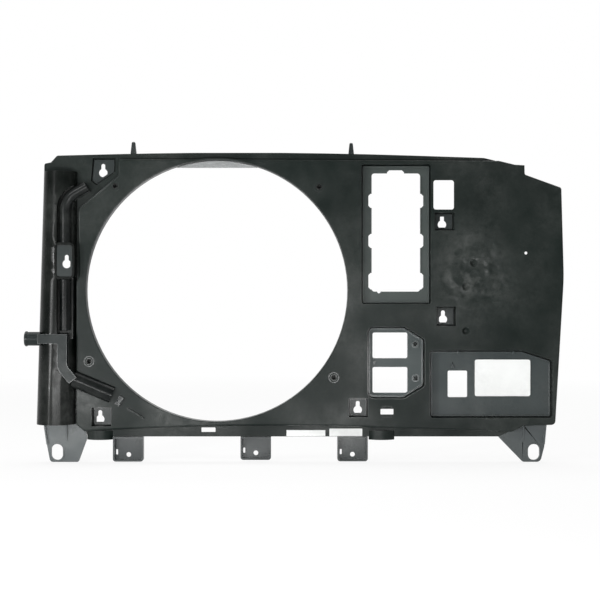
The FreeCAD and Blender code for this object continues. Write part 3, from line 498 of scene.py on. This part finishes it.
def insert_tree():
    """Threaded inserts on points: a chamfered sleeve, knurls outside and a thread inside.

    Each is built about the vertical axis, then laid along the part's depth.
    """
    tree, given = geometry_tree("Threaded inserts", [
        ("Radius", FLOAT, 4.0 * MM), ("Bore", FLOAT, 2.5 * MM), ("Length", FLOAT, 10.0 * MM),
        ("Pitch", FLOAT, 0.8 * MM), ("Knurls", "NodeSocketInt", 28),
        ("Material", "NodeSocketMaterial", None)])
    knurl = math_node(tree, "MULTIPLY", given["Pitch"], KNURL_HEIGHT)
    body = math_node(tree, "SUBTRACT", given["Radius"], knurl)
    thickness = math_node(tree, "SUBTRACT", body, given["Bore"])
    middle = math_node(tree, "MULTIPLY", math_node(tree, "ADD", body, given["Bore"]), 0.5)
    path = add(tree, "GeometryNodeCurvePrimitiveCircle",
               {"Resolution": 40, "Radius": middle}).outputs[0]
    section = add(tree, "GeometryNodeCurvePrimitiveQuadrilateral",
                  {"Width": thickness, "Height": given["Length"]}).outputs[0]
    chamfered = add(tree, "GeometryNodeFilletCurve",
                    {"Curve": section, "Radius": knurl, "Count": 2}, mode="POLY").outputs[0]
    sleeve = add(tree, "GeometryNodeCurveToMesh", {0: path, 1: chamfered}).outputs[0]
    run = math_node(tree, "MULTIPLY", given["Length"], THREAD_RUN)
    turns = math_node(tree, "DIVIDE", run, given["Pitch"])
    helix = add(tree, "GeometryNodeCurveSpiral",
                {"Resolution": 24, "Rotations": turns, "Start Radius": given["Bore"],
                 "End Radius": given["Bore"], "Height": run}).outputs[0]
    crest_radius = math_node(tree, "MULTIPLY", given["Pitch"], CREST_RADIUS)
    crest = add(tree, "GeometryNodeCurvePrimitiveCircle",
                {"Resolution": 4, "Radius": crest_radius})
    thread = add(tree, "GeometryNodeCurveToMesh",
                 {0: helix, 1: crest.outputs[0], "Fill Caps": True}).outputs[0]
    down = vector_of(tree, z=math_node(tree, "MULTIPLY", given["Length"], -THREAD_RUN / 2))
    thread = add(tree, "GeometryNodeTransform",
                 {"Geometry": thread, "Translation": down}).outputs[0]
    ridge_width = math_node(tree, "MULTIPLY", knurl, RIDGE_WIDTH)
    ridge_run = math_node(tree, "MULTIPLY", given["Length"], RIDGE_RUN)
    ridge = add(tree, "GeometryNodeMeshCube",
                {"Size": vector_of(tree, ridge_width, ridge_width, ridge_run)})
    ridge = turned(tree, ridge.outputs[0], z=math.radians(45))
    ring = add(tree, "GeometryNodeMeshCircle",
               {"Vertices": given["Knurls"], "Radius": body}).outputs[0]
    place = add(tree, "GeometryNodeInputPosition").outputs[0]
    facing = add(tree, "FunctionNodeAlignRotationToVector", {"Vector": place},
                 axis="X", pivot_axis="Z").outputs[0]
    ridges = add(tree, "GeometryNodeInstanceOnPoints",
                 {"Points": ring, "Instance": ridge, "Rotation": facing}).outputs[0]
    whole = tree.nodes.new("GeometryNodeJoinGeometry")
    for shape in (sleeve, thread, ridges):
        tree.links.new(shape, whole.inputs[0])
    laid = turned(tree, whole.outputs[0], x=math.radians(90))
    copies = add(tree, "GeometryNodeInstanceOnPoints",
                 {"Points": given["Geometry"], "Instance": laid}).outputs[0]
    end_tree(tree, copies, given["Material"])
    return tree


def foam_tree():
    """A strip of foam that fills the top of a round opening, with pores in its skin.

    A finely divided block is drawn up to the opening's arc from its straight lower edge.
    """
    tree, given = geometry_tree("Foam strip", [
        ("Opening radius", FLOAT, 0.185), ("Lower edge", FLOAT, 0.175),
        ("Least height", FLOAT, 0.6 * MM), ("Depth", FLOAT, 3.0 * MM),
        ("Step", FLOAT, 0.9 * MM), ("Dip", FLOAT, 0.2 * MM), ("Pore scale", FLOAT, 380.0),
        ("Seed", FLOAT, 7.0), ("Material", "NodeSocketMaterial", None)])
    squared = math_node(tree, "MULTIPLY", given["Opening radius"], given["Opening radius"])
    tip = math_node(tree, "ADD", given["Lower edge"], given["Least height"])
    half = math_node(tree, "SQRT", math_node(
        tree, "SUBTRACT", squared, math_node(tree, "MULTIPLY", tip, tip)))
    length = math_node(tree, "MULTIPLY", half, 2.0)
    height = math_node(tree, "SUBTRACT", given["Opening radius"], given["Lower edge"])
    counts = [math_node(tree, "ADD", math_node(tree, "CEIL", math_node(
        tree, "DIVIDE", side, given["Step"])), 1.0) for side in (length, given["Depth"], height)]
    block = add(tree, "GeometryNodeMeshCube",
                {"Size": vector_of(tree, length, given["Depth"], height),
                 "Vertices X": counts[0], "Vertices Y": counts[1],
                 "Vertices Z": counts[2]}).outputs[0]
    place = add(tree, "GeometryNodeInputPosition").outputs[0]
    x, y, z = add(tree, "ShaderNodeSeparateXYZ", {0: place}).outputs[:3]
    arc = math_node(tree, "SQRT", math_node(
        tree, "SUBTRACT", squared, math_node(tree, "MULTIPLY", x, x)))
    rise = math_node(tree, "ADD", math_node(tree, "DIVIDE", z, height), 0.5)
    level = math_node(tree, "ADD", given["Lower edge"], math_node(
        tree, "MULTIPLY", rise, math_node(tree, "SUBTRACT", arc, given["Lower edge"])))
    back = math_node(tree, "SUBTRACT", y, math_node(tree, "MULTIPLY", given["Depth"], 0.5))
    drawn = add(tree, "GeometryNodeSetPosition",
                {"Geometry": block, "Position": vector_of(tree, x, back, level)}).outputs[0]
    pores = add(tree, "ShaderNodeTexNoise",
                {"W": given["Seed"], "Scale": given["Pore scale"], "Detail": 2.0},
                noise_dimensions="4D").outputs[0]
    depth = ramp(tree, pores, 0.35, 0.7)
    normal = add(tree, "GeometryNodeInputNormal").outputs[0]
    inwards = math_node(tree, "MULTIPLY", math_node(tree, "MULTIPLY", depth, given["Dip"]), -1.0)
    offset = add(tree, "ShaderNodeVectorMath", {0: normal, "Scale": inwards},
                 operation="SCALE").outputs[0]
    skin = add(tree, "GeometryNodeSetPosition", {"Geometry": drawn, "Offset": offset}).outputs[0]
    end_tree(tree, skin, given["Material"])
    return tree


def grown_mesh(tree, points, values):
    """The plain mesh that a tree makes from these points and named values."""
    seed = bpy.data.meshes.new("points")
    seed.from_pydata([tuple(p) for p in points], [], [])
    holder = bpy.data.objects.new("work", seed)
    bpy.context.scene.collection.objects.link(holder)
    modifier = holder.modifiers.new("Tree", "NODES")
    modifier.node_group = tree
    for item in tree.interface.items_tree:
        if item.in_out == "INPUT" and item.name in values:
            modifier[item.identifier] = values[item.name]
    return baked(holder)


def islands(node):
    """Lowest and highest corner of each separate body in a node's mesh."""
    work = bmesh.new()
    work.from_mesh(frame["nodes"][node].data)
    bmesh.ops.remove_doubles(work, verts=work.verts, dist=MERGE)
    left = set(work.verts)
    boxes = []
    while left:
        front = [left.pop()]
        found = []
        while front:
            vertex = front.pop()
            found.append(vertex.co.copy())
            for edge in vertex.link_edges:
                other = edge.other_vert(vertex)
                if other in left:
                    left.remove(other)
                    front.append(other)
        boxes.append((Vector(map(min, zip(*found))), Vector(map(max, zip(*found)))))
    work.free()
    return boxes


# ---- Settings -----------------------------------------------------------------------------
def colour_property(name, description, default):
    """A colour that the panel shows."""
    return bpy.props.FloatVectorProperty(name=name, description=description, default=default,
                                         size=3, min=0.0, max=1.0, subtype="COLOR")


def length_property(name, description, default):
    """A length in metres that the panel shows."""
    return bpy.props.FloatProperty(name=name, description=description, default=default,
                                   min=0.0, precision=5, subtype="DISTANCE", unit="LENGTH")


class ShroudSizes(bpy.types.PropertyGroup):
    """Sizes that the solids leave open"""
    panel_edge: length_property("Panel edge", "Rounding of the main panel's edges", 0.5 * MM)
    cover_edge: length_property("Cover edge", "Rounding of the covers' edges", 0.8 * MM)
    plate_edge: length_property("Plate edge", "Rounding of the seated plates' edges", 0.5 * MM)
    insert_bore: bpy.props.FloatProperty(name="Insert bore", default=0.66, min=0.3, max=0.9,
                                         description="Bore's radius, over the insert's radius",
                                         subtype="FACTOR")
    insert_pitch: bpy.props.FloatProperty(name="Insert pitch", default=0.2, min=0.05, max=0.4,
                                          description="Thread's pitch, over the insert's radius",
                                          subtype="FACTOR")
    foam_step: length_property("Foam step", "Spacing of the foam's surface points", 0.9 * MM)
    foam_dip: length_property("Foam dip", "Depth of the foam's pores", 0.2 * MM)
    seal_reach: length_property("Seal reach", "Height of the seal strip at its middle", 9.8 * MM)
    seal_depth: length_property("Seal depth", "Thickness of the seal strip", 3.0 * MM)
    seal_gap: length_property("Seal gap", "From the seal strip to the collar", 0.2 * MM)
    gate_reach: length_property("Gate reach", "From the right keyholes out to the gate", 43 * MM)
    guard_edge: length_property("Guard edge", "Rounding of the hose guard's end", 4.0 * MM)
    channel_edge: length_property("Channel edge", "Rounding of the channel's edges", 2.0 * MM)


class ShroudColours(bpy.types.PropertyGroup):
    """Base colours of the finishes, several of them one black plastic lightened as painted sheen
    and darkened as painted shade
    """
    # The channel, frame, resistor plate, tray, keyhole plates, feet and lugs are the panel's black
    # plastic made lighter as painted sheen; the tank cover and the small covers are it made darker
    # as painted shade
    panel: colour_property("Panel", "Main panel", (0.0055, 0.0095, 0.0082))
    tank: colour_property("Tank cover", "Tank cover", (0.001, 0.002, 0.0015))
    cover: colour_property("Small covers", "Vent tube covers and hose guard", (0.002, 0.003, 0.003))
    channel: colour_property("Channel", "Pipe channel", (0.01, 0.014, 0.014))
    frame: colour_property("Frame", "Flap frame", (0.048, 0.058, 0.055))
    resistor: colour_property("Resistor plate", "Resistor plate", (0.048, 0.059, 0.059))
    tray: colour_property("Tray", "Module tray", (0.036, 0.045, 0.046))
    key_plate: colour_property("Keyhole plates", "Keyhole plates", (0.017, 0.022, 0.022))
    foot: colour_property("Feet", "Mounting feet", (0.053, 0.063, 0.065))
    lug: colour_property("Lugs", "Boxed lugs", (0.03, 0.035, 0.036))
    pin: colour_property("Pins", "Locating pins", (0.02, 0.024, 0.024))
    label: colour_property("Labels", "Bare labels", (0.82, 0.83, 0.82))
    clip: colour_property("Clip", "Cable clip", (0.03, 0.034, 0.034))
    steel: colour_property("Steel", "Inserts", (0.035, 0.036, 0.035))
    foam: colour_property("Foam", "Seal strip", (0.3, 0.31, 0.31))
    floor: colour_property("Floor", "Floor and backdrop", (0.93, 0.93, 0.93))


class StudioSettings(bpy.types.PropertyGroup):
    """Powers of the lights and strengths of the surround"""
    key: bpy.props.FloatProperty(name="Key", description="Large soft light, front and low",
                                 default=8.0, min=0.0, unit="POWER")
    side: bpy.props.FloatProperty(name="Side", description="Tall soft light at the left",
                                  default=15.0, min=0.0, unit="POWER")
    corner: bpy.props.FloatProperty(name="Corner", description="Small light, high at the left",
                                    default=8.0, min=0.0, unit="POWER")
    top: bpy.props.FloatProperty(name="Top", description="Soft light from above",
                                 default=32.0, min=0.0, unit="POWER")
    world: bpy.props.FloatProperty(name="World", description="Even light from all round",
                                   default=0.25, min=0.0)
    room: bpy.props.FloatProperty(name="Room", default=0.22, min=0.0, max=1.0,
                                  description="How bright the side behind the camera mirrors",
                                  subtype="FACTOR")


def mount(name):
    """The record's mount of this name."""
    return next(m for m in frame["record"]["mounts"] if m["name"] == name)


def tone(name):
    """The chosen colour of a finish."""
    return tuple(getattr(bpy.context.scene.shroud_colours, name))


def size(name):
    """The chosen size of this name."""
    return getattr(bpy.context.scene.shroud_sizes, name)


# ---- Operators ----------------------------------------------------------------------------
class SHROUD_OT_materials(bpy.types.Operator):
    """Build the plastics, the label paper, the insert steel and the seal foam"""
    bl_idname = "shroud.materials"
    bl_label = "Materials"
    bl_options = {"REGISTER", "UNDO"}

    def execute(self, context):
        build_groups()
        moulded("panel plastic", tone("panel"), rough=0.38, gloss=0.12, dust=0.15, scuffs=0.4,
                haze=0.9, flow=1.0)
        moulded("tank plastic", tone("tank"), rough=0.27, gloss=0.10, dust=0.02, wear=0.1,
                scuffs=0.1, grain=0.2, waves=0.3)
        moulded("cover plastic", tone("cover"), rough=0.27, gloss=0.12, dust=0.04, scuffs=0.1,
                grain=0.2, waves=0.5)
        moulded("channel plastic", tone("channel"), rough=0.34, gloss=0.10, dust=0.06,
                grain=0.3, waves=1.5)
        moulded("frame plastic", tone("frame"), rough=0.38, gloss=0.14)
        moulded("resistor plastic", tone("resistor"), rough=0.38, gloss=0.14)
        moulded("tray plastic", tone("tray"), rough=0.38, gloss=0.14, dust=0.2, haze=0.9)
        moulded("keyhole plastic", tone("key_plate"), rough=0.34, gloss=0.20)
        moulded("foot plastic", tone("foot"), rough=0.36, gloss=0.35, dust=0.3)
        moulded("lug plastic", tone("lug"), rough=0.30, gloss=0.25, dust=0.3)
        moulded("pin plastic", tone("pin"), rough=0.35, gloss=0.15)
        moulded("label paper", tone("label"), rough=0.55, gloss=0.07, dust=0.0, wear=0.0,
                scuffs=0.1, grain=0.1)
        moulded("clip nylon", tone("clip"), rough=0.3, gloss=0.25, dust=0.05)
        metal("insert steel", tone("steel"), rough=0.35)
        foam("seal foam", tone("foam"))
        return {"FINISHED"}


class SHROUD_OT_panel(bpy.types.Operator):
    """Finish the main panel"""
    bl_idname = "shroud.panel"
    bl_label = "Main panel"
    bl_options = {"REGISTER", "UNDO"}

    def execute(self, context):
        dress(["main_panel"], "panel plastic", "panel", size("panel_edge"))
        return {"FINISHED"}


class SHROUD_OT_covers(bpy.types.Operator):
    """Finish the tank cover, the vent tube covers, the hose guard and the pipe channel"""
    bl_idname = "shroud.covers"
    bl_label = "Covers"
    bl_options = {"REGISTER", "UNDO"}

    def execute(self, context):
        dress(["tank_cover"], "tank plastic", "tank", size("cover_edge"))
        dress(["vent_tube_cover_upper", "vent_tube_cover_lower"], "cover plastic",
              "dark_cover", size("cover_edge"))
        dress(["hose_guard"], "cover plastic", "dark_cover", size("guard_edge"), segments=4)
        dress(["pipe_channel"], "channel plastic", "channel", size("channel_edge"), segments=4)
        return {"FINISHED"}


class SHROUD_OT_plates(bpy.types.Operator):
    """Finish the flap frame, the resistor plate, the module tray and the keyhole plates"""
    bl_idname = "shroud.plates"
    bl_label = "Seated plates"
    bl_options = {"REGISTER", "UNDO"}

    def execute(self, context):
        edge = size("plate_edge")
        dress(["flap_frame"], "frame plastic", "frame_plate", edge)
        dress(["resistor_plate"], "resistor plastic", "frame_plate", edge)
        dress(["module_tray"], "tray plastic", "tray_plate", edge)
        dress(["keyhole_plate_" + place for place in KEY_PLATES], "keyhole plastic",
              "key_plate", edge)
        return {"FINISHED"}


class SHROUD_OT_mountings(bpy.types.Operator):
    """Finish the feet, the lugs and the locating pins"""
    bl_idname = "shroud.mountings"
    bl_label = "Feet, lugs and pins"
    bl_options = {"REGISTER", "UNDO"}

    def execute(self, context):
        edge = size("plate_edge")
        dress(["foot_left", "foot_right"], "foot plastic", "foot", edge)
        dress(["lug_left", "lug_centre", "lug_right"], "lug plastic", "lug", edge)
        dress(["locating_pin_left", "locating_pin_right"], "pin plastic", "pin", edge)
        return {"FINISHED"}


class SHROUD_OT_fittings(bpy.types.Operator):
    """Finish the inserts, the cable clip and the labels"""
    bl_idname = "shroud.fittings"
    bl_label = "Inserts, clip and labels"
    bl_options = {"REGISTER", "UNDO"}

    def execute(self, context):
        clip_edge = size("plate_edge") / 2
        label_edge = clip_edge / 4
        tree = insert_tree()
        for node in ("fan_mount_inserts", "resistor_inserts"):
            boxes = islands(node)
            low, high = boxes[0]
            radius = (high.x - low.x) / 2
            values = {"Radius": radius, "Bore": radius * size("insert_bore"),
                      "Length": high.y - low.y, "Pitch": radius * size("insert_pitch"),
                      "Material": bpy.data.materials["insert steel"]}
            centres = [(a + b) / 2 for a, b in boxes]
            link("threaded_" + node, grown_mesh(tree, centres, values), "insert steel",
                 "insert", node)
        dress(["cable_clip"], "clip nylon", "clip", clip_edge)
        dress(["data_label", "stock_labels"], "label paper", "label", label_edge)
        return {"FINISHED"}


class SHROUD_OT_seal(bpy.types.Operator):
    """Make the foam seal strip inside the top of the opening"""
    bl_idname = "shroud.seal"
    bl_label = "Seal strip"
    bl_options = {"REGISTER", "UNDO"}

    def execute(self, context):
        radius = mount("fan_opening")["dims"]["r_mm"] * MM
        values = {"Opening radius": radius - size("seal_gap"),
                  "Lower edge": radius - size("seal_reach"), "Depth": size("seal_depth"),
                  "Step": size("foam_step"), "Dip": size("foam_dip"),
                  "Material": bpy.data.materials["seal foam"]}
        mesh = grown_mesh(foam_tree(), [(0.0, 0.0, 0.0)], values)
        link("foam_seal_strip", mesh, "seal foam", "dark_cover")
        return {"FINISHED"}


class SHROUD_OT_stage(bpy.types.Operator):
    """Build the floor, the soft lights, the surround and the camera"""
    bl_idname = "shroud.stage"
    bl_label = "Stage"
    bl_options = {"REGISTER", "UNDO"}

    def execute(self, context):
        build_floor()
        build_lights()
        build_surround()
        build_camera()
        return {"FINISHED"}


class SHROUD_PT_panel(bpy.types.Panel):
    """Lists the shroud's settings and operators"""
    bl_idname = "SHROUD_PT_panel"
    bl_label = "Radiator fan shroud"
    bl_space_type = "VIEW_3D"
    bl_region_type = "UI"
    bl_category = "Shroud"

    def draw(self, context):
        for name, group in SETTINGS:
            column = self.layout.column(align=True)
            for setting in group.__annotations__:
                column.prop(getattr(context.scene, name), setting)
        for operator in OPERATORS:
            self.layout.operator(operator.bl_idname)


# ---- Stage --------------------------------------------------------------------------------
def build_floor():
    """Pale floor under the feet, white to the camera apart from the object's shadow."""
    reach = FLOOR_REACH
    corners = [(-reach, -reach), (reach, -reach), (reach, reach), (-reach, reach)]
    mesh = bpy.data.meshes.new("floor")
    mesh.from_pydata([(x, y, LOW.z) for x, y in corners], [], [(0, 1, 2, 3)])
    floor = bpy.data.objects.new("floor", mesh)
    bpy.context.scene.collection.objects.link(floor)
    tree = material_tree("floor white")
    lit = add(tree, "ShaderNodeBsdfDiffuse", {"Color": tone("floor") + (1.0,)}).outputs[0]
    plain = add(tree, "ShaderNodeEmission", {"Color": WHITE}).outputs[0]
    path = add(tree, "ShaderNodeLightPath").outputs
    seen = math_node(tree, "MAXIMUM", path["Is Camera Ray"], path["Is Glossy Ray"])
    seen = math_node(tree, "MAXIMUM", seen, path["Is Transmission Ray"])
    away = add(tree, "ShaderNodeVectorMath", {0: object_place(tree)},
               operation="LENGTH").outputs["Value"]
    glow = ramp(tree, away, SHADOW_NEAR, SHADOW_FAR, GLOW_NEAR, 1.0)
    share = math_node(tree, "MULTIPLY", seen, glow)
    end_material(tree, add(tree, "ShaderNodeMixShader", {0: share, 1: lit, 2: plain}))
    mesh.materials.append(bpy.data.materials["floor white"])


def area_light(name, place, target, width, height, power):
    """A soft rectangular light that faces its target."""
    light = bpy.data.lights.new(name, "AREA")
    light.shape = "RECTANGLE"
    light.size = width
    light.size_y = height
    light.energy = power
    lamp = bpy.data.objects.new(name, light)
    lamp.location = place
    lamp.rotation_euler = (Vector(target) - Vector(place)).to_track_quat("-Z", "Y").to_euler()
    bpy.context.scene.collection.objects.link(lamp)


def build_lights():
    """The soft lights, each with its power from the settings."""
    for name, (place, target, width, height) in LIGHTS.items():
        power = getattr(bpy.context.scene.shroud_studio, name)
        area_light(name, place, target, width, height, power)


def build_surround():
    """White to the camera; shiny faces mirror it bright behind the part and dim in front."""
    studio = bpy.context.scene.shroud_studio
    world = bpy.data.worlds.new("white surround")
    bpy.context.scene.world = world
    world.use_nodes = True
    tree = world.node_tree
    tree.nodes.clear()
    path = add(tree, "ShaderNodeLightPath").outputs
    towards = add(tree, "ShaderNodeTexCoord").outputs["Generated"]
    depth = add(tree, "ShaderNodeSeparateXYZ", {0: towards}).outputs[1]
    backdrop = ramp(tree, depth, BACKDROP_FROM, BACKDROP_TO, studio.room, 1.0)
    mirrored = math_node(tree, "MULTIPLY", path["Is Glossy Ray"], backdrop)
    seen = math_node(tree, "MAXIMUM", path["Is Camera Ray"], path["Is Transmission Ray"])
    seen = math_node(tree, "MAXIMUM", seen, mirrored)
    strength = math_node(tree, "MAXIMUM", seen, studio.world)
    background = add(tree, "ShaderNodeBackground",
                     {"Color": WHITE, "Strength": strength})
    tree.links.new(background.outputs[0], add(tree, "ShaderNodeOutputWorld").inputs[0])


def build_camera():
    """Level camera in front of the panel."""
    lens = bpy.data.cameras.new("camera")
    lens.lens = LENS
    lens.sensor_width = SENSOR
    camera = bpy.data.objects.new("camera", lens)
    camera.location = EYE
    camera.rotation_euler = (math.radians(90), 0.0, 0.0)
    bpy.context.scene.collection.objects.link(camera)
    bpy.context.scene.camera = camera
    bpy.context.scene.view_settings.view_transform = "Standard"


# ---- Registration -------------------------------------------------------------------------
OPERATORS = (SHROUD_OT_materials, SHROUD_OT_panel, SHROUD_OT_covers, SHROUD_OT_plates,
             SHROUD_OT_mountings, SHROUD_OT_fittings, SHROUD_OT_seal, SHROUD_OT_stage)
SETTINGS = (("shroud_sizes", ShroudSizes), ("shroud_colours", ShroudColours),
            ("shroud_studio", StudioSettings))


def register():
    """Register the settings, the operators and the panel."""
    for name, group in SETTINGS:
        bpy.utils.register_class(group)
        setattr(bpy.types.Scene, name, bpy.props.PointerProperty(type=group))
    for operator in OPERATORS:
        bpy.utils.register_class(operator)
    bpy.utils.register_class(SHROUD_PT_panel)


def unregister():
    """Undo register, in the other order."""
    bpy.utils.unregister_class(SHROUD_PT_panel)
    for operator in reversed(OPERATORS):
        bpy.utils.unregister_class(operator)
    for name, group in reversed(SETTINGS):
        delattr(bpy.types.Scene, name)
        bpy.utils.unregister_class(group)


def main():
    """Run every operator in order."""
    register()
    for operator in OPERATORS:
        family, name = operator.bl_idname.split(".")
        getattr(getattr(bpy.ops, family), name)()


if __name__ == "__main__":
    main()
